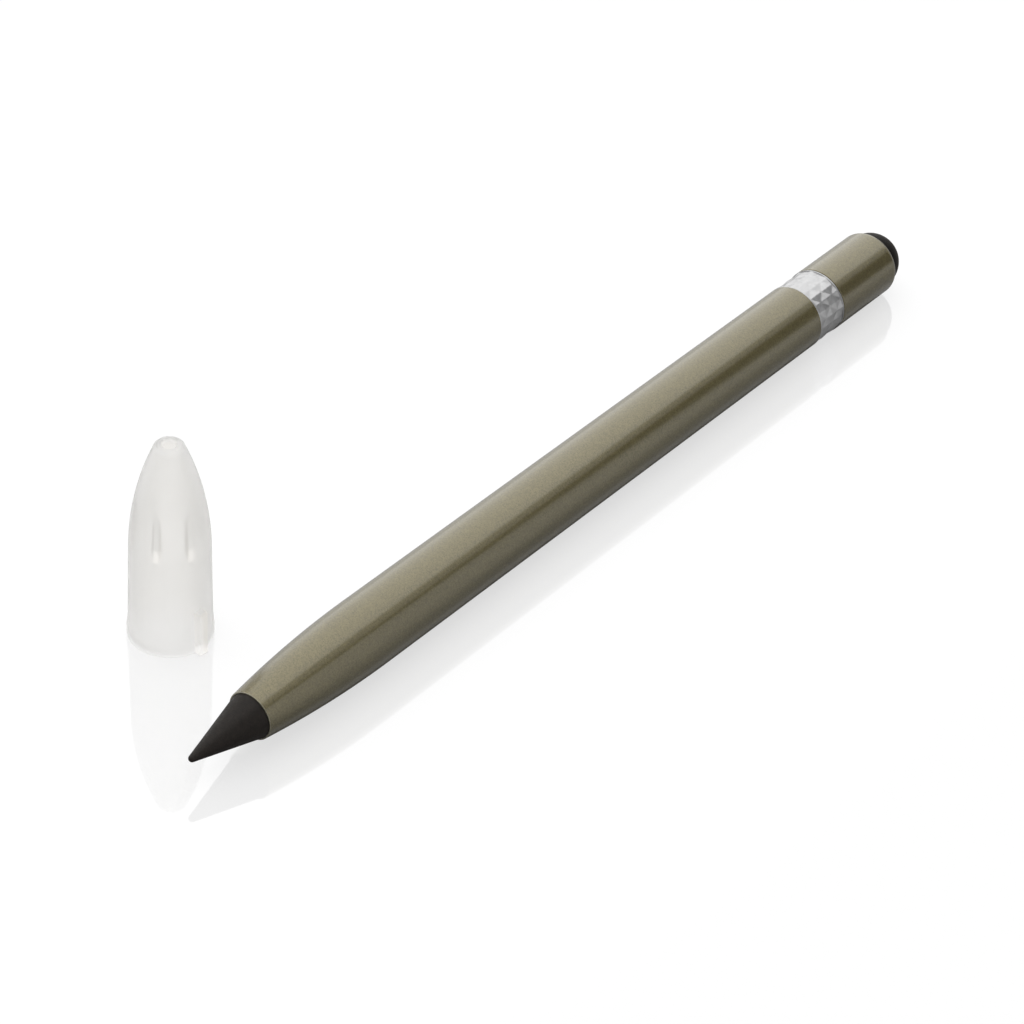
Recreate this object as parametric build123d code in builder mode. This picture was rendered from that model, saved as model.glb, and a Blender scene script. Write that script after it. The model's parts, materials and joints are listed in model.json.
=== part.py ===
from build123d import *
import math
import os

# Inkless pencil: a lacquered tube with a screwed-in graphite nib, a push-in eraser and a loose push-on cap.
# X runs along the pencil, with the nib towards -X and the origin on the axis at the middle of the straight barrel.
# Z is up, and the table lies one tube radius below the axis. Lengths are in millimetres, angles in degrees.

# Barrel, a drawn tube with a tapered nose
tube_diameter = 9.0
tube_wall = 0.5
barrel_straight = 88.8
taper_length = 20.7
nose_diameter = 6.3
lip_length = 3.0
edge_round = 0.08

# Nib with its threaded stud, and the bush that takes the thread
nib_length = 10.3
nib_diameter = 5.8
nib_tip_radius = 0.45
nib_spigot_length = 1.0
stud_diameter = 3.0
stud_in_nib = 4.5
stud_chamfer = 0.4
thread_length = 7.5
bush_length = 10.0

# Band of diamond pyramids between barrel and rear sleeve
band_width = 5.45
band_rim = 0.2
band_seam = 0.12
diamonds_around = 12
diamonds_along = 2
diamond_depth = 0.12

# Rear sleeve, with its end rolled in a little
sleeve_length = 12.5
sleeve_draw_length = 0.6
sleeve_draw = 0.25

# Joining plug through the band
plug_in_barrel = 12.0
plug_in_sleeve = 3.5
plug_wall = 0.8
plug_chamfer = 0.3

# Eraser and the cup that grips its stem
eraser_proud = 4.2
eraser_collar = 2.2
eraser_stem_diameter = 5.2
holder_floor = 1.5

# Cap, standing on its mouth beside the nose
cap_x = -55.35
cap_y = 21.0
cap_height = 27.5
cap_bore_diameter = 8.8
cap_rim_diameter = 10.44
cap_rim_height = 1.2
cap_flare_height = 2.8
cap_body_diameter = 10.13
cap_shoulder_diameter = 9.79
cap_shoulder_height = 13.0
cap_bore_depth = 13.0
cap_top_diameter = 3.4
cap_top_wall = 1.0
cap_ogive_wall = 0.75
cap_edge_round = 0.25

# Grip ribs inside the cap, and the lug outside that stops it rolling
rib_count = 6
rib_angle = -101.5
rib_thickness = 0.9
rib_inner_diameter = 6.9
rib_above_ledge = 0.1
rib_root = 0.1
rib_ramp = 1.4
lug_angle = -96.5
lug_width = 1.3
lug_reach = 6.1
lug_height = 6.15
lug_round = 0.25

# Clearances
glue_gap = 0.05
turning_fit = 0.05
push_fit = 0.05
stem_end_gap = 0.3

# Radii that several pieces share
tube_radius = tube_diameter / 2
tube_bore = tube_radius - tube_wall
nib_radius = nib_diameter / 2
lip_bore = nib_radius + turning_fit
stud_radius = stud_diameter / 2
plug_radius = tube_bore - glue_gap
eraser_radius = tube_bore - push_fit
stem_radius = eraser_stem_diameter / 2

# Stations along the axis, from the nib's point to the eraser
taper_x = -barrel_straight / 2
nose_x = taper_x - taper_length
tip_x = nose_x - nib_length
lip_x = nose_x + lip_length
bush_x = nose_x + nib_spigot_length
barrel_end = barrel_straight / 2
band_end = barrel_end + band_width
sleeve_x = band_end + band_seam
sleeve_end = sleeve_x + sleeve_length
plug_end = sleeve_x + plug_in_sleeve
eraser_seat = sleeve_end - eraser_collar
stem_socket_x = plug_end + holder_floor
eraser_apex = sleeve_end + eraser_proud


# Barrel: drawn aluminium tube, its nose closed down to a thin lip round the nib
with BuildPart() as barrel:
    with BuildSketch(Plane.XY) as barrel_section:
        with BuildLine():
            TangentArc((taper_x, tube_radius), (nose_x, nose_diameter / 2), tangent=(-1, 0))
            Line((nose_x, nose_diameter / 2), (nose_x, lip_bore))
            Line((nose_x, lip_bore), (lip_x, lip_bore))
            TangentArc((taper_x, tube_bore), (lip_x, lip_bore), tangent=(-1, 0))
            Polyline(
                (taper_x, tube_bore),
                (barrel_end, tube_bore),
                (barrel_end, tube_radius),
                (taper_x, tube_radius),
            )
        make_face()
        fillet(barrel_section.vertices().sort_by_distance((nose_x, nose_diameter / 2))[0], edge_round)
        fillet(barrel_section.vertices().sort_by_distance((barrel_end, tube_radius))[0], edge_round)
    revolve(axis=Axis.X)

# Nib: turned graphite cone with a rounded point, and a spigot that sits inside the nose lip
point_centre = Vector(tip_x + nib_tip_radius, 0)
to_shoulder = Vector(nose_x, nib_radius) - point_centre
flank_angle = math.degrees(
    math.atan2(to_shoulder.Y, to_shoulder.X) + math.acos(nib_tip_radius / to_shoulder.length)
)
with BuildPart() as nib:
    with BuildSketch(Plane.XY):
        with BuildLine():
            point = CenterArc(point_centre, nib_tip_radius, 180, flank_angle - 180)
            Polyline(
                point @ 1,
                (nose_x, nib_radius),
                (bush_x, nib_radius),
                (bush_x, stud_radius + glue_gap),
                (bush_x - stud_in_nib - glue_gap, stud_radius + glue_gap),
                (bush_x - stud_in_nib - glue_gap, 0),
                point @ 0,
            )
        make_face()
    revolve(axis=Axis.X)

# Nib stud: steel stem, one end moulded into the nib and the other threaded
with BuildPart() as nib_stud:
    with BuildSketch(Plane.YZ.offset(bush_x - stud_in_nib)):
        Circle(stud_radius)
    extrude(amount=stud_in_nib + thread_length)
    chamfer(nib_stud.edges().filter_by(GeomType.CIRCLE), stud_chamfer)

# Nose bush: plastic insert that follows the inside of the nose and takes the stud's thread
with BuildPart() as nose_bush:
    with BuildSketch(Plane.XY):
        with BuildLine():
            Polyline(
                (taper_x, tube_bore - glue_gap),
                (taper_x, stud_radius + turning_fit),
                (bush_x, stud_radius + turning_fit),
                (bush_x, lip_bore - glue_gap),
                (lip_x, lip_bore - glue_gap),
            )
            TangentArc((taper_x, tube_bore - glue_gap), (lip_x, lip_bore - glue_gap), tangent=(-1, 0))
        make_face()
    revolve(axis=Axis.X)
    split(bisect_by=Plane.YZ.offset(bush_x + bush_length), keep=Keep.BOTTOM)

# Band: metal ring whose diamonds stand on a grid of half steps, where every other point is a peak
half_steps_around = 2 * diamonds_around
half_steps_along = 2 * diamonds_along
half_step = (band_width - 2 * band_rim) / half_steps_along


def is_peak(along, around):
    return (along + around) % 2 == 1


def grid_point(along, around):
    radius = tube_radius if is_peak(along, around) else tube_radius - diamond_depth
    angle = 2 * math.pi * around / half_steps_around
    return Vector(barrel_end + band_rim + along * half_step, radius * math.cos(angle), radius * math.sin(angle))


def facets(along, around):
    """Two triangles of one grid square, parted along the valley between its two peaks."""
    corners = [
        grid_point(along, around),
        grid_point(along, around + 1),
        grid_point(along + 1, around + 1),
        grid_point(along + 1, around),
    ]
    if not is_peak(along, around):
        corners = corners[1:] + corners[:1]
    for triangle in ((0, 1, 3), (2, 3, 1)):
        yield Face(Wire.make_polygon([corners[i] for i in triangle]))


diamond_faces = [
    facet
    for along in range(half_steps_along)
    for around in range(half_steps_around)
    for facet in facets(along, around)
]
for along in (0, half_steps_along):
    ring = [grid_point(along, around) for around in range(half_steps_around)]
    diamond_faces.append(Face(Wire.make_polygon(ring)))
diamonds = Solid(Shell(diamond_faces))

with BuildPart() as knurled_band:
    add(diamonds)
    with BuildSketch(Plane.YZ.offset(barrel_end), Plane.YZ.offset(band_end - band_rim)):
        Circle(tube_radius)
    extrude(amount=band_rim)
    with BuildSketch(Plane.YZ.offset(barrel_end)):
        Circle(tube_bore)
    extrude(amount=band_width, mode=Mode.SUBTRACT)

# Rear sleeve: short tube, its end rolled in a little round the eraser
with BuildPart() as rear_sleeve:
    with BuildSketch(Plane.XY) as sleeve_section:
        with BuildLine():
            Polyline(
                (sleeve_end - sleeve_draw_length, tube_radius),
                (sleeve_x, tube_radius),
                (sleeve_x, tube_bore),
                (sleeve_end, tube_bore),
                (sleeve_end, tube_radius - sleeve_draw),
            )
            TangentArc(
                (sleeve_end - sleeve_draw_length, tube_radius),
                (sleeve_end, tube_radius - sleeve_draw),
                tangent=(1, 0),
            )
        make_face()
        fillet(sleeve_section.vertices().sort_by_distance((sleeve_x, tube_radius))[0], edge_round)
        fillet(sleeve_section.vertices().sort_by_distance((sleeve_end, tube_radius - sleeve_draw))[0], edge_round)
    revolve(axis=Axis.X)

# Joining plug: plastic tube glued into barrel, band and rear sleeve
with BuildPart() as joining_plug:
    with BuildSketch(Plane.YZ.offset(barrel_end - plug_in_barrel)):
        Circle(plug_radius)
        Circle(plug_radius - plug_wall, mode=Mode.SUBTRACT)
    extrude(amount=plug_end - barrel_end + plug_in_barrel)
    chamfer(joining_plug.edges().group_by(Axis.X)[0].sort_by(SortBy.RADIUS)[-1], plug_chamfer)

# Eraser holder: plastic cup behind the plug, with a blind socket for the eraser's stem
with BuildPart() as eraser_holder:
    with BuildSketch(Plane.YZ.offset(plug_end)):
        Circle(plug_radius)
    extrude(amount=eraser_seat - plug_end)
    with BuildSketch(Plane.YZ.offset(stem_socket_x)):
        Circle(stem_radius + push_fit)
    extrude(amount=eraser_seat - stem_socket_x, mode=Mode.SUBTRACT)

# Eraser: moulded rubber plug with a domed end and a stem
with BuildPart() as eraser:
    with BuildSketch(Plane.XY):
        with BuildLine():
            dome = CenterArc((eraser_apex - eraser_radius, 0), eraser_radius, 0, 90)
            Polyline(
                dome @ 1,
                (eraser_seat, eraser_radius),
                (eraser_seat, stem_radius),
                (stem_socket_x + stem_end_gap, stem_radius),
                (stem_socket_x + stem_end_gap, 0),
                dome @ 0,
            )
        make_face()
    revolve(axis=Axis.X)

# Cap: polypropylene moulding with a flared mouth and a pointed-arch top. Its sections lie in upright planes
# through its axis, with x outwards and y up from the table.
cap_foot = (cap_x, cap_y, -tube_radius)
cap_bore = cap_bore_diameter / 2
cap_rim = cap_rim_diameter / 2
cap_body = cap_body_diameter / 2
rib_inner = rib_inner_diameter / 2
shoulder = Vector(cap_shoulder_diameter / 2, cap_shoulder_height)
top_corner = Vector(cap_top_diameter / 2, cap_height)
cap_ceiling = cap_height - cap_top_wall

# The arch is one arc that leaves the wall without a corner and ends at the edge of the flat top
wall_draft = (cap_body - shoulder.X) / (cap_shoulder_height - cap_flare_height)
inward = Vector(-1, -wall_draft).normalized()
arch_chord = top_corner - shoulder
arch_radius = arch_chord.dot(arch_chord) / (2 * arch_chord.dot(inward))
arch_centre = shoulder + inward * arch_radius


def arch_point(depth, height):
    """Point at this height, this deep under the outside of the arch."""
    reach = math.sqrt((arch_radius - depth) ** 2 - (height - arch_centre.Y) ** 2)
    return (arch_centre.X + reach, height)


def arch_height(depth, radius):
    """Height at which the arch, this deep under its outside, comes in to this radius."""
    return arch_centre.Y + math.sqrt((arch_radius - depth) ** 2 - (radius - arch_centre.X) ** 2)


def arch(depth, low, high):
    return ThreePointArc(arch_point(depth, low), arch_point(depth, (low + high) / 2), arch_point(depth, high))


def upright_plane(angle):
    out = Vector(math.cos(math.radians(angle)), math.sin(math.radians(angle)), 0)
    return Plane(origin=cap_foot, x_dir=out, z_dir=(out.Y, -out.X, 0))


with BuildPart() as cap:
    with BuildSketch(upright_plane(0)) as cap_section:
        with BuildLine():
            Polyline(
                (cap_bore, 0),
                (cap_rim, 0),
                (cap_rim, cap_rim_height),
                (cap_body, cap_flare_height),
                (shoulder.X, shoulder.Y),
            )
            arch(0, cap_shoulder_height, cap_height)
            Polyline(
                (top_corner.X, top_corner.Y),
                (0, cap_height),
                (0, cap_ceiling),
                arch_point(cap_ogive_wall, cap_ceiling),
            )
            arch(cap_ogive_wall, cap_bore_depth, cap_ceiling)
            Polyline(
                arch_point(cap_ogive_wall, cap_bore_depth),
                (cap_bore, cap_bore_depth),
                (cap_bore, 0),
            )
        make_face()
        for corner in (top_corner, Vector(cap_rim, 0)):
            fillet(cap_section.vertices().sort_by_distance(corner)[0], cap_edge_round)
    revolve(axis=Axis(cap_foot, (0, 0, 1)))

    # Ribs: each ramps in just above the ledge over the bore, rooted inside the arch's wall
    rib_depth = cap_ogive_wall / 2
    rib_foot = cap_bore_depth + rib_above_ledge
    rib_head = arch_height(rib_depth, rib_inner)
    with BuildSketch(*[upright_plane(rib_angle + i * 360 / rib_count) for i in range(rib_count)]):
        with BuildLine():
            Polyline(
                arch_point(rib_depth, rib_foot),
                arch_point(cap_ogive_wall - rib_root, rib_foot),
                (rib_inner, rib_foot + rib_ramp),
                (rib_inner, rib_head),
            )
            arch(rib_depth, rib_foot, rib_head)
        make_face()
    extrude(amount=rib_thickness / 2, both=True)

    # Lug: upright bar from the rim, rooted inside the wall
    lug_root = (cap_bore + cap_body) / 2
    lug_out = upright_plane(lug_angle).x_dir
    with BuildSketch(Plane(origin=cap_foot, x_dir=lug_out, z_dir=(0, 0, 1))) as lug_plan:
        with Locations((lug_root, 0)):
            Rectangle(lug_reach - lug_root, lug_width, align=(Align.MIN, Align.CENTER))
        fillet(lug_plan.vertices().sort_by(Axis.X)[-2:], lug_round)
    extrude(amount=lug_height)

pieces = {
    "barrel": barrel,
    "nib": nib,
    "nib_stud": nib_stud,
    "nose_bush": nose_bush,
    "knurled_band": knurled_band,
    "rear_sleeve": rear_sleeve,
    "joining_plug": joining_plug,
    "eraser_holder": eraser_holder,
    "eraser": eraser,
    "cap": cap,
}
os.makedirs("parts", exist_ok=True)
for name, piece in pieces.items():
    piece.part.label = name
    export_step(piece.part, f"parts/{name}.step")
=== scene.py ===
import bpy
import json
import math
from mathutils import Matrix, Vector


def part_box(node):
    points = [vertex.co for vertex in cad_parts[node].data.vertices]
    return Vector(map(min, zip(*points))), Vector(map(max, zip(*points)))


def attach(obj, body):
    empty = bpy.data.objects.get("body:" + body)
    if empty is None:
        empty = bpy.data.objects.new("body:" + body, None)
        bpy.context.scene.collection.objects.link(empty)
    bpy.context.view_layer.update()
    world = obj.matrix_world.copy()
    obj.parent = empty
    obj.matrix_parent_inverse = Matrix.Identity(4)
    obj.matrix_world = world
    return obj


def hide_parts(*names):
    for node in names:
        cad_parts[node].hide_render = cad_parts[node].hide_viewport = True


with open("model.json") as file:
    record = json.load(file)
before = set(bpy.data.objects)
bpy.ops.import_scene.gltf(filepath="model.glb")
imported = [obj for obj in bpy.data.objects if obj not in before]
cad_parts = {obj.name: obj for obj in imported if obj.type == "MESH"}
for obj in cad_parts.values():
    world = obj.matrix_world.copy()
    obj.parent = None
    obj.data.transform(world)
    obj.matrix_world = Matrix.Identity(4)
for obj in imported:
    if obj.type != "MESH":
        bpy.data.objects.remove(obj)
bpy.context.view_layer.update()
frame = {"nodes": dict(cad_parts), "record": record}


# Barrel: a drawn aluminium tube whose nose is swaged down to a thin rounded lip round the nib.
# It is sprayed with olive metallic lacquer and clear coat. The nib's bush and the joining plug are
# glued into its two ends.
barrel_low, barrel_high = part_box("barrel")
nose_x, barrel_end = barrel_low.x, barrel_high.x
tube_radius = barrel_high.z
tube_wall = 0.0005
tube_bore = tube_radius - tube_wall
tube_sides = 128
taper_length = 0.0207
taper_x = nose_x + taper_length
nose_radius = 0.00315
lip_length = 0.0030
lip_x = nose_x + lip_length
lip_bore = 0.00295
lip_inner_round = 0.00003
edge_round = 0.00008
crease_angle = math.radians(35)


def swage(start, end, steps):
    """Stations of an arc that leaves the straight tube without a corner."""
    (x0, r0), (x1, r1) = start, end
    bend = ((x1 - x0) ** 2 + (r1 - r0) ** 2) / (2 * (r0 - r1))
    xs = [x0 + (x1 - x0) * i / steps for i in range(steps + 1)]
    return [(x, r0 - bend + math.sqrt(bend**2 - (x - x0) ** 2)) for x in xs]


def corner(centre_x, centre_radius, size, start, end, steps=5):
    """Stations of a rounded corner, swept between two angles in degrees."""
    angles = [math.radians(start + (end - start) * i / steps) for i in range(steps + 1)]
    return [(centre_x + size * math.cos(a), centre_radius + size * math.sin(a)) for a in angles]


def turn(name, stations, sides, tip=False):
    """A piece turned about X: a ring drawn out through (x, radius) stations, back to where it began.
    With a tip, it begins as a small disc instead and ends on the axis."""
    bpy.ops.object.select_all(action="DESELECT")
    x, radius = stations[0]
    bpy.ops.mesh.primitive_circle_add(
        vertices=sides, radius=radius, fill_type="TRIFAN" if tip else "NOTHING",
        location=(x, 0, 0), rotation=(0, math.pi / 2, 0),
    )
    piece = bpy.context.object
    piece.name = piece.data.name = name
    bpy.ops.object.transform_apply()
    bpy.ops.object.mode_set(mode="EDIT")
    bpy.ops.mesh.select_all(action="SELECT")
    if tip:
        bpy.ops.mesh.region_to_loop()
    for (x0, r0), (x1, r1) in zip(stations, stations[1:]):
        bpy.ops.mesh.extrude_region_move(TRANSFORM_OT_translate={"value": (x1 - x0, 0, 0)})
        bpy.ops.transform.resize(value=(1, r1 / r0, r1 / r0), center_override=(x1, 0, 0))
    if tip:
        bpy.ops.mesh.merge(type="CENTER")
    bpy.ops.mesh.select_all(action="SELECT")
    bpy.ops.mesh.remove_doubles(threshold=1e-7)
    bpy.ops.mesh.normals_make_consistent(inside=False)
    bpy.ops.object.mode_set(mode="OBJECT")
    bpy.ops.object.shade_smooth_by_angle(angle=crease_angle)
    return piece


lip = corner(nose_x + edge_round, nose_radius - edge_round, edge_round, 90, 180, steps=6)
lip += corner(nose_x + lip_inner_round, lip_bore + lip_inner_round, lip_inner_round, 180, 270, steps=3)
barrel = turn(
    "lacquered_barrel",
    swage((taper_x, tube_radius), lip[0], steps=32)
    + lip[1:]
    + swage((taper_x, tube_bore), (lip_x, lip_bore), steps=24)[::-1]
    + [(barrel_end - edge_round, tube_bore), (barrel_end, tube_bore)]
    + corner(barrel_end - edge_round, tube_radius - edge_round, edge_round, 0, 90)
    + [(barrel_end - 3 * edge_round, tube_radius), (taper_x, tube_radius)],
    tube_sides,
)


def set_inputs(node, values):
    """Sets inputs of a shader node by name, with underscores for the spaces in the names."""
    for socket, value in values.items():
        node.inputs[socket.replace("_", " ")].default_value = value


def pattern_group(name, size_label, texture, output, spread, **texture_values):
    """Shader group: a pattern of one size, whose spread of values is brought between two limits."""
    group = bpy.data.node_groups.new(name, "ShaderNodeTree")
    group.interface.new_socket("Vector", in_out="INPUT", socket_type="NodeSocketVector")
    for label in (size_label, "Low", "High"):
        group.interface.new_socket(label, in_out="INPUT", socket_type="NodeSocketFloat")
    group.interface.new_socket("Value", in_out="OUTPUT", socket_type="NodeSocketFloat")
    given = group.nodes.new("NodeGroupInput")
    pattern = group.nodes.new("ShaderNodeTex" + texture)
    set_inputs(pattern, texture_values)
    limits = group.nodes.new("ShaderNodeMapRange")
    set_inputs(limits, {"From_Min": spread[0], "From_Max": spread[1]})
    result = group.nodes.new("NodeGroupOutput")
    link = group.links.new
    link(given.outputs["Vector"], pattern.inputs["Vector"])
    link(given.outputs[size_label], pattern.inputs["Scale"])
    link(pattern.outputs[output], limits.inputs["Value"])
    link(given.outputs["Low"], limits.inputs["To Min"])
    link(given.outputs["High"], limits.inputs["To Max"])
    link(limits.outputs["Result"], result.inputs["Value"])
    return group


# Speckle is grains with a random value each, and cloud is soft uneven patches.
speckle = pattern_group("speckle", "Grains per metre", "Voronoi", "Color", spread=(0, 1))
cloud = pattern_group("cloud", "Patches per metre", "Noise", "Fac", spread=(0.3, 0.7), Detail=3)


class Finish:
    """A material under construction: its Principled shader, Object coordinates and small helpers."""

    def __init__(self, name, **values):
        self.material = bpy.data.materials.new(name)
        self.material.use_nodes = True
        self.tree = self.material.node_tree
        self.shader = self.tree.nodes["Principled BSDF"]
        set_inputs(self.shader, values)
        self.place = self.node("TexCoord").outputs["Object"]

    def node(self, kind, **values):
        """A new shader node of this kind, with these inputs set."""
        made = self.tree.nodes.new("ShaderNode" + kind)
        set_inputs(made, values)
        return made

    def link(self, output, target):
        self.tree.links.new(output, target)

    def effect(self, group, **values):
        """One use of a shader group, with its own values; gives its Value."""
        made = self.node("Group")
        made.node_tree = group
        set_inputs(made, values)
        self.link(self.place, made.inputs["Vector"])
        return made.outputs["Value"]

    def shaded(self, colour, *factors):
        """A colour, or a socket that gives one, times values that vary over the surface, as base colour."""
        for factor in factors:
            scaled = self.node("VectorMath")
            scaled.operation = "SCALE"
            if isinstance(colour, tuple):
                scaled.inputs[0].default_value = colour
            else:
                self.link(colour, scaled.inputs[0])
            self.link(factor, scaled.inputs["Scale"])
            colour = scaled.outputs["Vector"]
        self.link(colour, self.shader.inputs["Base Color"])

    def rough(self, value):
        """Roughness that varies over the surface."""
        self.link(value, self.shader.inputs["Roughness"])

    def bump(self, height, depth):
        """Fine relief, this deep in metres where the height goes from 0 to 1."""
        made = self.node("Bump", Distance=depth)
        self.link(height, made.inputs["Height"])
        self.link(made.outputs["Normal"], self.shader.inputs["Normal"])


olive = (0.141, 0.1195, 0.0545, 1)
# A lighter olive, painted on the lip as a highlight round the nib.
lip_painted_highlight = (0.26, 0.24, 0.172, 1)
lacquer = Finish(
    "olive_metallic_lacquer", Metallic=0.92, Coat_Weight=1.0, Coat_Roughness=0.19, Coat_IOR=1.65
)
flakes = lacquer.effect(speckle, Grains_per_metre=7500, Low=0.72, High=1.25)
spray = lacquer.effect(cloud, Patches_per_metre=900, Low=0.97, High=1.03)
axes = lacquer.node("SeparateXYZ")
lacquer.link(lacquer.place, axes.inputs["Vector"])
# Over the lip's rounded edge the lacquer's colour fades into that lighter olive, a painted highlight.
lip_highlight_blend = lacquer.node("MapRange", From_Min=nose_x + edge_round / 4, From_Max=nose_x + edge_round)
lacquer.link(axes.outputs["X"], lip_highlight_blend.inputs["Value"])
paint = lacquer.node("MixRGB", Color1=lip_painted_highlight, Color2=olive)
lacquer.link(lip_highlight_blend.outputs["Result"], paint.inputs["Fac"])
lacquer.shaded(paint.outputs["Color"], flakes, spray)
lacquer.rough(lacquer.effect(cloud, Patches_per_metre=5000, Low=0.44, High=0.52))
lacquer.bump(lacquer.effect(cloud, Patches_per_metre=6500, Low=0, High=1), depth=0.0000018)
barrel.data.materials.append(lacquer.material)
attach(barrel, "pencil")
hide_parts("barrel")


# Nose bush, joining plug and eraser holder: black moulded plastic inserts, glued inside the tubes.
# The bush takes the nib's thread, the plug joins the tubes through the band, and the holder is a cup
# for the eraser's stem. They show only when the nib or the eraser is out.
moulded = Finish("black_moulded_plastic", Roughness=0.5)
moulded.shaded((0.045, 0.045, 0.047), moulded.effect(cloud, Patches_per_metre=1500, Low=0.85, High=1.15))
moulded.bump(moulded.effect(speckle, Grains_per_metre=6000, Low=0, High=1), depth=0.000004)
for name in ("nose_bush", "joining_plug", "eraser_holder"):
    insert = frame["nodes"][name]
    insert.material_slots[0].material = moulded.material


# Nib stud: a turned steel stem with a rolled thread, moulded into the back of the nib.
# The thread is a ridge wound round a plain core, as deep as a fine metric thread.
stud_low, stud_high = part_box("nib_stud")
stud_radius = stud_high.z
stud_chamfer = 0.0004
stud_sides = 48
thread_pitch = 0.0005
thread_depth = 0.0003
thread_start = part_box("nose_bush")[0].x
steps_per_winding = 40
core_radius = stud_radius - thread_depth
end_disc = 0.0002
stud = turn(
    "threaded_stud",
    [
        (stud_low.x, end_disc),
        (stud_low.x, stud_radius - stud_chamfer),
        (stud_low.x + stud_chamfer, stud_radius),
        (thread_start, stud_radius),
        (thread_start + thread_depth, core_radius),
        (stud_high.x - stud_chamfer, core_radius),
        (stud_high.x, core_radius - stud_chamfer),
        (stud_high.x, end_disc),
    ],
    stud_sides,
    tip=True,
)

bpy.ops.object.select_all(action="DESELECT")
bpy.ops.mesh.primitive_circle_add(
    vertices=3, radius=thread_pitch / 2, location=(thread_start + thread_pitch, core_radius, 0)
)
ridge = bpy.context.object
bpy.ops.object.transform_apply()
ridge_height = max(v.co.y for v in ridge.data.vertices) - core_radius
bpy.ops.object.mode_set(mode="EDIT")
bpy.ops.mesh.select_all(action="SELECT")
bpy.ops.transform.resize(
    value=(1, thread_depth / ridge_height, 1), center_override=(thread_start, core_radius, 0)
)
bpy.ops.object.mode_set(mode="OBJECT")
winding = ridge.modifiers.new("winding", "SCREW")
winding.axis = "X"
winding.screw_offset = thread_pitch
winding.iterations = int((stud_high.x - stud_chamfer - thread_start) / thread_pitch) - 1
winding.steps = winding.render_steps = steps_per_winding
bpy.ops.object.modifier_apply(modifier="winding")
bpy.ops.object.mode_set(mode="EDIT")
bpy.ops.mesh.select_all(action="SELECT")
bpy.ops.mesh.fill_holes(sides=3)
bpy.ops.mesh.select_all(action="SELECT")
bpy.ops.mesh.normals_make_consistent(inside=False)
bpy.ops.object.mode_set(mode="OBJECT")
stud.select_set(True)
bpy.context.view_layer.objects.active = stud
bpy.ops.object.join()
bpy.ops.object.shade_smooth_by_angle(angle=crease_angle)

steel = Finish("turned_steel", Metallic=1.0)
steel.shaded((0.56, 0.55, 0.53), steel.effect(cloud, Patches_per_metre=2500, Low=0.9, High=1.08))
steel.rough(steel.effect(cloud, Patches_per_metre=8000, Low=0.22, High=0.34))
stud.data.materials.append(steel.material)
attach(stud, "nib")
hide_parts("nib_stud")


# Nib: a cone of pressed graphite composite, turned to a rounded point. Its spigot sits inside the
# lip of the barrel, and the stud is moulded into a socket in its back.
nib_low, nib_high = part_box("nib")
tip_x, spigot_end = nib_low.x, nib_high.x
lip_gap = 0.00001
nib_radius = lip_bore - lip_gap
nib_sides = 96
tip_round = 0.00045
tip_disc_angle = 8
flank_shares = (0.02, 0.3, 0.6, 0.98)
stud_gap = 0.00005
flank_run = nose_x - tip_x - tip_round
flank_lean = math.degrees(
    math.atan2(nib_radius, flank_run) + math.acos(tip_round / math.hypot(flank_run, nib_radius))
)
nib_point = corner(tip_x + tip_round, 0, tip_round, 180 - tip_disc_angle, flank_lean, steps=10)
nib_flank = [
    tuple(a + (b - a) * share for a, b in zip(nib_point[-1], (nose_x, nib_radius)))
    for share in flank_shares
]
nib = turn(
    "graphite_nib",
    nib_point
    + nib_flank
    + [
        (nose_x, nib_radius),
        (nose_x + edge_round, nib_radius),
        (spigot_end - edge_round, nib_radius),
        (spigot_end, nib_radius - edge_round),
        (spigot_end, stud_radius + stud_gap),
        (stud_low.x - stud_gap, stud_radius + stud_gap),
        (stud_low.x - stud_gap, end_disc),
    ],
    nib_sides,
    tip=True,
)

graphite = Finish("pressed_graphite", Specular_IOR_Level=0.2)
graphite.shaded(
    (0.0105, 0.0078, 0.0060),
    graphite.effect(cloud, Patches_per_metre=1400, Low=0.8, High=1.25),
    graphite.effect(speckle, Grains_per_metre=7000, Low=0.75, High=1.3),
)
graphite.rough(graphite.effect(cloud, Patches_per_metre=4000, Low=0.45, High=0.58))
turning_marks = graphite.node("TexWave", Scale=1300, Distortion=2.5, Detail=2, Detail_Scale=1.5)
turning_marks.bands_direction = "X"
graphite.link(graphite.place, turning_marks.inputs["Vector"])
graphite.bump(turning_marks.outputs["Fac"], depth=0.000004)
nib.data.materials.append(graphite.material)
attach(nib, "nib")
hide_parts("nib")


# Band: a satin silver ring pressed with two rows of small diamond pyramids, between plain rims.
# It is slipped over the joining plug and held between the two tubes.
band_low, band_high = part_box("knurled_band")
band_rim = 0.0002
rim_round = 0.00005
diamonds_around = 12
diamond_rows = 2
diamond_depth = 0.00012
ridge_round = 0.0001
crest_radius = tube_radius - rim_round / 5
band_middle = (band_low.x + band_high.x) / 2
diamonds_x = band_low.x + band_rim
diamonds_length = band_high.x - band_low.x - 2 * band_rim
half_step = diamonds_length / (2 * diamond_rows)

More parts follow.
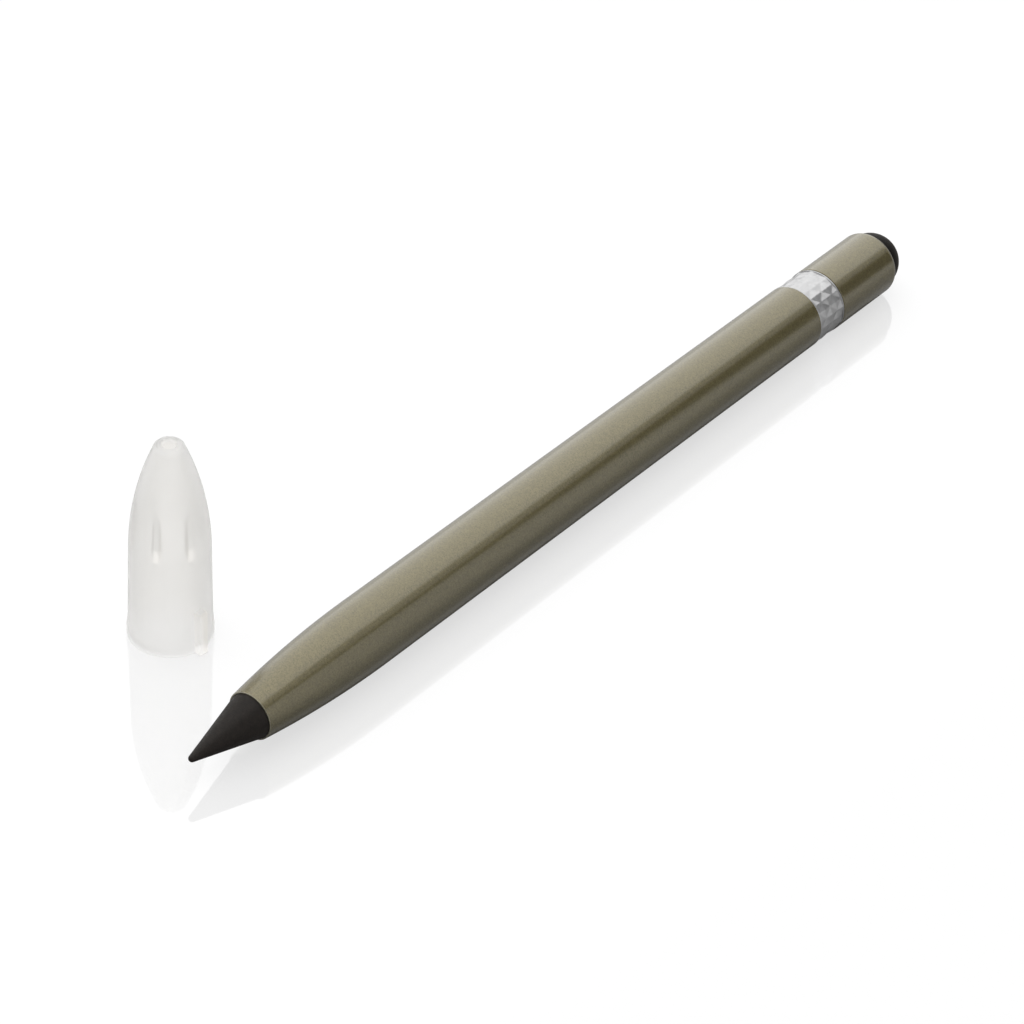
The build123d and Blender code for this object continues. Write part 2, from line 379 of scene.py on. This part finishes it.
# Every second point of a lattice is pressed in, which leaves pyramids, and their ridges are softened.
bpy.ops.object.select_all(action="DESELECT")
bpy.ops.mesh.primitive_cylinder_add(
    vertices=2 * diamonds_around, radius=crest_radius, depth=diamonds_length,
    end_fill_type="NOTHING", location=(band_middle, 0, 0), rotation=(0, math.pi / 2, 0),
)
band = bpy.context.object
band.name = band.data.name = "diamond_band"
bpy.ops.object.transform_apply()
bpy.ops.object.mode_set(mode="EDIT")
for row in range(1, 2 * diamond_rows):
    bpy.ops.mesh.select_all(action="SELECT")
    bpy.ops.mesh.bisect(plane_co=(diamonds_x + row * half_step, 0, 0), plane_no=(1, 0, 0))
bpy.ops.mesh.select_all(action="DESELECT")
bpy.ops.object.mode_set(mode="OBJECT")
for vertex in band.data.vertices:
    along = round((vertex.co.x - diamonds_x) / half_step)
    around = round(math.atan2(vertex.co.z, vertex.co.y) / math.pi * diamonds_around)
    vertex.select = (along + around) % 2 == 0
bpy.ops.object.mode_set(mode="EDIT")
bpy.ops.mesh.select_mode(type="VERT")
valley = 1 - diamond_depth / crest_radius
bpy.ops.transform.resize(value=(1, valley, valley), center_override=(band_middle, 0, 0))
bpy.ops.mesh.select_all(action="SELECT")
bpy.ops.mesh.quads_convert_to_tris(quad_method="SHORTEST_DIAGONAL")
bpy.ops.mesh.select_mode(type="EDGE")
bpy.ops.mesh.select_all(action="DESELECT")
bpy.ops.mesh.select_non_manifold()
bpy.ops.mesh.select_all(action="INVERT")
bpy.ops.mesh.bevel(offset=ridge_round, segments=3)

# The open ends run on under the rims, down to the bore and through it, and the rims are added on top.
bpy.ops.mesh.select_all(action="DESELECT")
bpy.ops.mesh.select_non_manifold()
bpy.ops.mesh.extrude_region_move()
under_rim = 1 + band_rim / diamonds_length
sunk = 1 - rim_round / crest_radius
bpy.ops.transform.resize(value=(under_rim, sunk, sunk), center_override=(band_middle, 0, 0))
bpy.ops.mesh.extrude_region_move()
bore = tube_bore / (crest_radius * valley * math.cos(math.pi / diamonds_around))
bpy.ops.transform.resize(value=(1, bore, bore), center_override=(band_middle, 0, 0))
bpy.ops.mesh.bridge_edge_loops()
bpy.ops.mesh.select_all(action="SELECT")
bpy.ops.mesh.normals_make_consistent(inside=False)
bpy.ops.object.mode_set(mode="OBJECT")


def fuse(piece, extra):
    """Makes an extra piece one with this piece, which ends up selected."""
    bpy.ops.object.select_all(action="DESELECT")
    piece.select_set(True)
    bpy.context.view_layer.objects.active = piece
    union = piece.modifiers.new("union", "BOOLEAN")
    union.operation = "UNION"
    union.object = extra
    bpy.ops.object.modifier_apply(modifier="union")
    bpy.data.objects.remove(extra)


for side, outer, inwards, facing in (("front", band_low.x, 1, 180), ("rear", band_high.x, -1, 0)):
    inner = outer + inwards * band_rim
    rim = turn(
        f"band_rim_{side}",
        [(outer, tube_bore)]
        + corner(outer + inwards * rim_round, tube_radius - rim_round, rim_round, facing, 90, steps=3)
        + [(inner, tube_radius), (inner, tube_bore), (outer, tube_bore)],
        tube_sides,
    )
    fuse(band, rim)
bpy.ops.object.mode_set(mode="EDIT")
bpy.ops.mesh.select_all(action="SELECT")
bpy.ops.mesh.dissolve_degenerate(threshold=1e-6)
bpy.ops.object.mode_set(mode="OBJECT")

silver = Finish("satin_silver", Metallic=1.0)
silver.shaded((0.48, 0.48, 0.482), silver.effect(cloud, Patches_per_metre=1800, Low=0.93, High=1.05))
silver.rough(silver.effect(cloud, Patches_per_metre=5000, Low=0.35, High=0.43))
silver.bump(silver.effect(speckle, Grains_per_metre=9000, Low=0, High=1), depth=0.000002)
band.data.materials.append(silver.material)
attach(band, "pencil")
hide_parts("knurled_band")


# Rear sleeve: a short length of the same lacquered tube, glued over the plug. Its end is rolled in a
# little, where it grips the eraser.
sleeve_low, sleeve_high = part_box("rear_sleeve")
sleeve_round = 0.00002
roll_length = 0.0006
roll_in = 0.0002
roll_radius = (roll_length**2 + roll_in**2) / (2 * roll_in)
roll_x = sleeve_high.x - roll_length
roll_end = math.acos((roll_length - sleeve_round) / (roll_radius - sleeve_round))
mouth_radius = tube_radius - roll_radius + (roll_radius - sleeve_round) * math.sin(roll_end)
sleeve = turn(
    "lacquered_sleeve",
    [(sleeve_low.x, tube_bore), (sleeve_low.x, tube_radius - edge_round)]
    + corner(sleeve_low.x + edge_round, tube_radius - edge_round, edge_round, 180, 90)[1:]
    + [(sleeve_low.x + 3 * edge_round, tube_radius)]
    + corner(roll_x, tube_radius - roll_radius, roll_radius, 90, math.degrees(roll_end), steps=10)
    + corner(sleeve_high.x - sleeve_round, mouth_radius, sleeve_round, math.degrees(roll_end), 0)[1:]
    + [(sleeve_high.x, tube_bore), (sleeve_high.x - edge_round, tube_bore), (sleeve_low.x, tube_bore)],
    tube_sides,
)
sleeve.data.materials.append(lacquer.material)
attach(sleeve, "pencil")
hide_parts("rear_sleeve")


# Eraser: a moulded plug of black rubber with a domed end. Its collar fills the mouth of the rear
# sleeve and its stem is pushed into the holder's cup.
eraser_low, eraser_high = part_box("eraser")
seat_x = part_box("eraser_holder")[1].x
eraser_radius = eraser_high.z
eraser_sides = 96
stem_radius = 0.0026
dome_start = eraser_high.x - eraser_radius
dome_disc_angle = 3
eraser = turn(
    "rubber_eraser",
    corner(dome_start, 0, eraser_radius, dome_disc_angle, 90, steps=24)
    + [
        (dome_start - edge_round, eraser_radius),
        (seat_x + 2 * edge_round, eraser_radius),
        (seat_x, eraser_radius - 2 * edge_round),
        (seat_x, stem_radius + edge_round),
        (seat_x - edge_round, stem_radius),
        (eraser_low.x + 2 * edge_round, stem_radius),
        (eraser_low.x, stem_radius - 2 * edge_round),
        (eraser_low.x, end_disc),
    ],
    eraser_sides,
    tip=True,
)

rubber = Finish(
    "black_rubber",
    Specular_IOR_Level=0.08,
    Sheen_Weight=0.10,
    Sheen_Roughness=0.3,
    Sheen_Tint=(1, 0.85, 0.7, 1),
)
rubber.shaded(
    (0.0050, 0.0041, 0.0033),
    rubber.effect(cloud, Patches_per_metre=700, Low=0.8, High=1.25),
    rubber.effect(speckle, Grains_per_metre=6500, Low=0.8, High=1.2),
)
rubber.rough(rubber.effect(cloud, Patches_per_metre=2500, Low=0.42, High=0.56))
rubber.bump(rubber.effect(speckle, Grains_per_metre=6500, Low=0, High=1), depth=0.000005)
eraser.data.materials.append(rubber.material)
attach(eraser, "eraser")
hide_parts("eraser")


# Cap: one moulding of clear, slightly frosted polypropylene, taken off and stood on its mouth. Six ribs
# inside grip the pencil's nose, and a lug on the flared mouth stops the capped pencil rolling.
cap_low, cap_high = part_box("cap")
mouth = next(m for m in frame["record"]["mounts"] if m["name"] == "cap_mouth")
cap_bore = mouth["dims"]["r_mm"] / 1000
bore_depth = mouth["dims"]["length_mm"] / 1000
cap_axis = Vector((mouth["pos_m"][0], mouth["pos_m"][1], cap_low.z))
cap_height = cap_high.z - cap_low.z
rim_radius = cap_axis.x - cap_low.x
rim_height = 0.0012
flare_height = 0.0028
body_radius = 0.005065
shoulder_radius = 0.004895
shoulder_height = 0.0130
top_radius = 0.0017
top_wall = 0.0010
dimple_radius = 0.00100
dimple_depth = 0.00025
dimple_disc = 0.0003
arch_wall = 0.00075
cap_round = 0.00025
top_round_sweep = 65
cap_sides = 120
rib_count = 6
rib_angle = -101.5
rib_half_width = 6
rib_inner = 0.00345
rib_gap = 0.0002
rib_foot = bore_depth + rib_gap
rib_ramp = 0.0013
ramp_end = rib_foot + rib_ramp
ramp_run_out = 0.0010
rib_head = 0.0194
lug_angle = -97.0
lug_root = (cap_bore + body_radius) / 2
lug_reach = 0.0061
lug_height = 0.00615
lug_width = 0.0013
lug_round = 0.00025

draft = (body_radius - shoulder_radius) / (shoulder_height - flare_height)
inward = Vector((-1, -draft)).normalized()
chord = Vector((top_radius - shoulder_radius, cap_height - shoulder_height))
arch_radius = chord.length_squared / (2 * chord.dot(inward))
arch_centre = Vector((shoulder_radius, shoulder_height)) + inward * arch_radius
arch_top = cap_height - cap_round
ceiling = cap_height - top_wall


def arch(depth, heights):
    """Stations on the pointed arch, this deep under its outside."""
    reach = arch_radius - depth
    return [(h, arch_centre.x + math.sqrt(reach**2 - (h - arch_centre.y) ** 2)) for h in heights]


def levels(low, high, steps):
    """Evenly spaced heights from low to high, both included."""
    return [low + (high - low) * i / steps for i in range(steps + 1)]


cap = turn(
    "clear_cap",
    [(cap_height - dimple_depth, dimple_disc), (cap_height - dimple_depth, dimple_radius - dimple_depth)]
    + [(cap_height, dimple_radius), (cap_height, top_radius - 2 * cap_round)]
    + corner(cap_height - cap_round, top_radius - cap_round, cap_round, 0, top_round_sweep)
    + arch(0, levels(arch_top, shoulder_height, steps=28))
    + [(lug_height, body_radius - draft * (lug_height - flare_height)), (flare_height, body_radius)]
    + [(rim_height, rim_radius), (cap_round, rim_radius)]
    + corner(cap_round, rim_radius - cap_round, cap_round, 90, 180)[1:]
    + [(0, cap_bore), (edge_round, cap_bore), (lug_height, cap_bore)]
    + [(bore_depth - edge_round, cap_bore), (bore_depth, cap_bore)]
    + arch(arch_wall, [bore_depth, rib_foot, ramp_end + rib_gap])
    + arch(arch_wall, levels(ramp_end + ramp_run_out, rib_head, steps=6))
    + arch(arch_wall, levels(rib_head, ceiling, steps=12))[1:]
    + [(ceiling, dimple_disc)],
    cap_sides,
    tip=True,
)
bpy.ops.object.mode_set(mode="EDIT")
bpy.ops.mesh.select_all(action="SELECT")
bpy.ops.transform.rotate(value=math.pi / 2, orient_axis="Y", center_override=(0, 0, 0))
bpy.ops.object.mode_set(mode="OBJECT")


def turn_to(piece, degrees):
    """Turns the piece about its upright axis, so that this direction faces +X."""
    piece.data.transform(Matrix.Rotation(math.radians(-degrees), 4, "Z"))


# Each rib is drawn in from a narrow strip of the inner wall that faces -X, then its foot is sloped.
steep = 0.3
for rib in range(rib_count):
    bpy.ops.object.mode_set(mode="EDIT")
    bpy.ops.mesh.select_mode(type="FACE")
    bpy.ops.mesh.select_all(action="DESELECT")
    bpy.ops.object.mode_set(mode="OBJECT")
    for face in cap.data.polygons:
        angle = math.degrees(math.atan2(face.center.y, face.center.x))
        in_strip = abs(angle) < rib_half_width and rib_foot < face.center.z < rib_head
        face.select = in_strip and face.normal.x < -steep and face.center.x > top_radius
    bpy.ops.object.mode_set(mode="EDIT")
    bpy.ops.mesh.extrude_region_move()
    bpy.ops.transform.resize(value=(0, 1, 1), center_override=(rib_inner, 0, 0))
    bpy.ops.object.mode_set(mode="OBJECT")
    for vertex in cap.data.vertices:
        if vertex.select and vertex.co.z < rib_foot + edge_round:
            vertex.co.z += rib_ramp
    turn_to(cap, 360 / rib_count)

turn_to(cap, lug_angle - rib_angle)
bpy.ops.object.select_all(action="DESELECT")
bpy.ops.mesh.primitive_cube_add(size=1)
lug = bpy.context.object
bpy.ops.object.mode_set(mode="EDIT")
bpy.ops.mesh.select_all(action="SELECT")
bpy.ops.transform.resize(value=(lug_reach - lug_root, lug_width, lug_height))
bpy.ops.transform.translate(value=((lug_reach + lug_root) / 2, 0, lug_height / 2))
bpy.ops.mesh.bevel(offset=lug_round, segments=4)
bpy.ops.object.mode_set(mode="OBJECT")
fuse(cap, lug)


def frosted(name, colour, ior):
    """One look of the frosted plastic, slightly uneven in tint and frosting."""
    plastic = Finish(name, Transmission_Weight=1.0, IOR=ior)
    plastic.shaded(colour, plastic.effect(cloud, Patches_per_metre=350, Low=0.98, High=1.0))
    plastic.rough(plastic.effect(cloud, Patches_per_metre=900, Low=0.50, High=0.58))
    return plastic.material


# The plastic looks denser where the ribs and the lug thicken it. Its lower edges, the feet of the ribs, the
# lug and the dimple in the top are painted lighter, a painted glow of light gathered from the table. Light
# passes these places almost straight, which keeps black wedges out of the thick plastic.
wall_ior, thick_ior = 1.28, 1.06
cap.data.materials.append(frosted("frosted_wall", (0.905, 0.899, 0.886), wall_ior))
cap.data.materials.append(frosted("frosted_rib", (0.715, 0.71, 0.695), thick_ior))
# This copy of the plastic is lighter than the wall: a painted glow.
cap.data.materials.append(frosted("frosted_edge_painted_glow", (0.98, 0.962, 0.93), thick_ior))
cap.data.materials.append(frosted("frosted_root", (0.78, 0.774, 0.76), thick_ior))
rib_look, painted_glow_look, root_look = 1, 2, 3
root_half_width = 1.25 * lug_width
mostly = 0.5
for face in cap.data.polygons:
    spot = face.center
    radius = math.hypot(spot.x, spot.y)
    facing_in = (face.normal.x * spot.x + face.normal.y * spot.y) / radius < -mostly
    on_rib = rib_foot < spot.z < rib_head and radius < arch(arch_wall, [spot.z])[0][1] - edge_round
    on_lug = spot.z < lug_height + edge_round and radius > rim_radius + edge_round
    behind_lug = spot.z < lug_height and spot.x > cap_bore / 2 and abs(spot.y) < root_half_width
    at_foot = face.normal.z < -steep and (on_rib or spot.z < cap_round and radius < rim_radius)
    in_dimple = spot.z > ceiling + edge_round and radius < dimple_radius
    if on_lug or at_foot or in_dimple:
        face.material_index = painted_glow_look
    elif on_rib and facing_in:
        face.material_index = rib_look
    elif behind_lug and facing_in:
        face.material_index = root_look
turn_to(cap, -lug_angle)
cap.data.transform(Matrix.Translation(cap_axis))
bpy.ops.object.shade_smooth_by_angle(angle=crease_angle)

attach(cap, "cap")
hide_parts("cap")


# Studio: a glossy white table top in pale surroundings, lit by a tall soft box behind and a wide one
# overhead. In front, a white card fills in the near side, and a dark card behind it, which shows past
# its edges, draws the dark streak along the tube.
table_z = -tube_radius
table_shade = 0.2
bpy.ops.object.select_all(action="DESELECT")
bpy.ops.mesh.primitive_plane_add(size=6, location=(0, 0, table_z))
table = bpy.context.object
table.name = "table_top"
acrylic = Finish("white_acrylic")
acrylic.tree.nodes.remove(acrylic.shader)
matt = acrylic.node("BsdfDiffuse", Color=(table_shade, table_shade, table_shade, 1))


def worked_out(operation, *terms):
    """The result of one sum in the table's material; each term is a number or a socket."""
    made = acrylic.node("Math")
    made.operation = operation
    for socket, term in zip(made.inputs, terms):
        if isinstance(term, float):
            socket.default_value = term
        else:
            acrylic.link(term, socket)
    return made.outputs["Value"]


# The lit table looks evenly white. In reflections its glow is painted darker towards the line of the
# pencil, a painted shade next to it.
glow_to_camera = 0.75
glow_through_plastic = 0.85
shade_edge, shade_glow = 0.003, 0.02
open_edge, open_glow = 0.030, 0.45
across = acrylic.node("SeparateXYZ")
acrylic.link(acrylic.place, across.inputs["Vector"])
# Painted shade: the glow that reflections see falls from open_glow to shade_glow next to the pencil's line.
glow_with_painted_shade = acrylic.node(
    "MapRange", From_Min=shade_edge, From_Max=open_edge, To_Min=shade_glow, To_Max=open_glow
)
acrylic.link(worked_out("ABSOLUTE", across.outputs["Y"]), glow_with_painted_shade.inputs["Value"])
seen = acrylic.node("LightPath").outputs
reflected = worked_out("SUBTRACT", seen["Is Glossy Ray"], seen["Is Transmission Ray"])
glow = worked_out("MULTIPLY", seen["Is Camera Ray"], glow_to_camera)
glow = worked_out("MULTIPLY_ADD", seen["Is Transmission Ray"], glow_through_plastic, glow)
glow = worked_out("MULTIPLY_ADD", reflected, glow_with_painted_shade.outputs["Result"], glow)
white = acrylic.node("Emission")
acrylic.link(glow, white.inputs["Strength"])
body = acrylic.node("AddShader")
acrylic.link(matt.outputs["BSDF"], body.inputs[0])
acrylic.link(white.outputs["Emission"], body.inputs[1])

# The mirror images fade out over an ellipse round the pencil and the cap.
mirror_centre = (-0.01, -0.005, 0)
mirror_reach = (0.16, 0.055, 0.055)
mirror_fade = 0.35
mirror_share = 0.115
mirror = acrylic.node("BsdfGlossy", Roughness=0.02)
ellipse = acrylic.node("Mapping", Location=mirror_centre, Scale=mirror_reach)
ellipse.vector_type = "TEXTURE"
acrylic.link(acrylic.place, ellipse.inputs["Vector"])
near = acrylic.node("TexGradient")
near.gradient_type = "SPHERICAL"
acrylic.link(ellipse.outputs["Vector"], near.inputs["Vector"])
polish = acrylic.node("MapRange", From_Max=mirror_fade, To_Max=mirror_share)
polish.interpolation_type = "SMOOTHSTEP"
acrylic.link(near.outputs["Fac"], polish.inputs["Value"])
surface = acrylic.node("MixShader")
acrylic.link(polish.outputs["Result"], surface.inputs["Fac"])
acrylic.link(body.outputs["Shader"], surface.inputs[1])
acrylic.link(mirror.outputs["BSDF"], surface.inputs[2])
acrylic.link(surface.outputs["Shader"], acrylic.tree.nodes["Material Output"].inputs["Surface"])
table.data.materials.append(acrylic.material)

# The soft boxes do not show through the frosted plastic, so the room is brighter there instead.
room_glow, room_glow_through_plastic = 0.55, 1.0
world = bpy.context.scene.world or bpy.data.worlds.new("studio")
bpy.context.scene.world = world
world.use_nodes = True
room = world.node_tree
background = room.nodes["Background"]
background.inputs["Color"].default_value = (1, 1, 1, 1)
seen_in_room = room.nodes.new("ShaderNodeLightPath").outputs
surround = room.nodes.new("ShaderNodeMapRange")
set_inputs(surround, {"To_Min": room_glow, "To_Max": room_glow_through_plastic})
room.links.new(seen_in_room["Is Transmission Ray"], surround.inputs["Value"])
room.links.new(surround.outputs["Result"], background.inputs["Strength"])


def soft_box(name, place, target, width, height, radiance):
    """A rectangular soft box at a place, facing a target, this bright all over."""
    lamp = bpy.data.lights.new(name, "AREA")
    lamp.shape = "RECTANGLE"
    lamp.size = width
    lamp.size_y = height
    lamp.energy = radiance * math.pi * width * height
    stand = bpy.data.objects.new(name, lamp)
    bpy.context.scene.collection.objects.link(stand)
    stand.location = place
    stand.rotation_euler = (Vector(target) - Vector(place)).to_track_quat("-Z", "Y").to_euler()
    stand.visible_camera = stand.visible_transmission = False


soft_box("back_box", place=(0.6, 0.9, 0.425), target=(0.6, 0, 0.425), width=4.0, height=0.85, radiance=1.05)
soft_box("top_box", place=(0.6, 0.24, 0.85), target=(0.6, 0.24, 0), width=4.0, height=1.32, radiance=1.05)


def upright_card(name, y, corners, shade):
    """A matt card that stands facing the pencil, out of the picture, with its corners at (x, z)."""
    bpy.ops.object.select_all(action="DESELECT")
    bpy.ops.mesh.primitive_plane_add()
    card = bpy.context.object
    card.name = name
    card.visible_camera = card.visible_transmission = False
    for vertex, (x, z) in zip(card.data.vertices, corners):
        vertex.co = (x, y, z)
    board = Finish(name, Base_Color=(shade, shade, shade, 1), Roughness=1.0, Specular_IOR_Level=0.0)
    card.data.materials.append(board.material)


upright_card(
    "dark_card", y=-0.30, shade=0.01,
    corners=[(0.05, 0.03), (0.70, 0.03), (0.05, 0.30), (0.70, 0.30)],
)
upright_card(
    "white_card", y=-0.29, shade=0.92,
    corners=[(-0.30, table_z), (0.35, table_z), (-0.30, 0.23), (0.245, 0.23)],
)

camera_place = Vector((-0.31845, -0.21914, 0.28127))
camera_azimuth = -54.027
camera_elevation = 36.826
camera_roll = 3.430
view = bpy.data.cameras.new("photo_view")
view.sensor_width = 36
view.lens = 133.99
view.clip_start = 0.01
view.clip_end = 20
camera = bpy.data.objects.new("photo_view", view)
bpy.context.scene.collection.objects.link(camera)
camera.matrix_world = (
    Matrix.Translation(camera_place)
    @ Matrix.Rotation(math.radians(camera_azimuth), 4, "Z")
    @ Matrix.Rotation(math.radians(90 - camera_elevation), 4, "X")
    @ Matrix.Rotation(math.radians(camera_roll), 4, "Z")
)
bpy.context.scene.camera = camera
bpy.context.scene.view_settings.view_transform = "Standard"
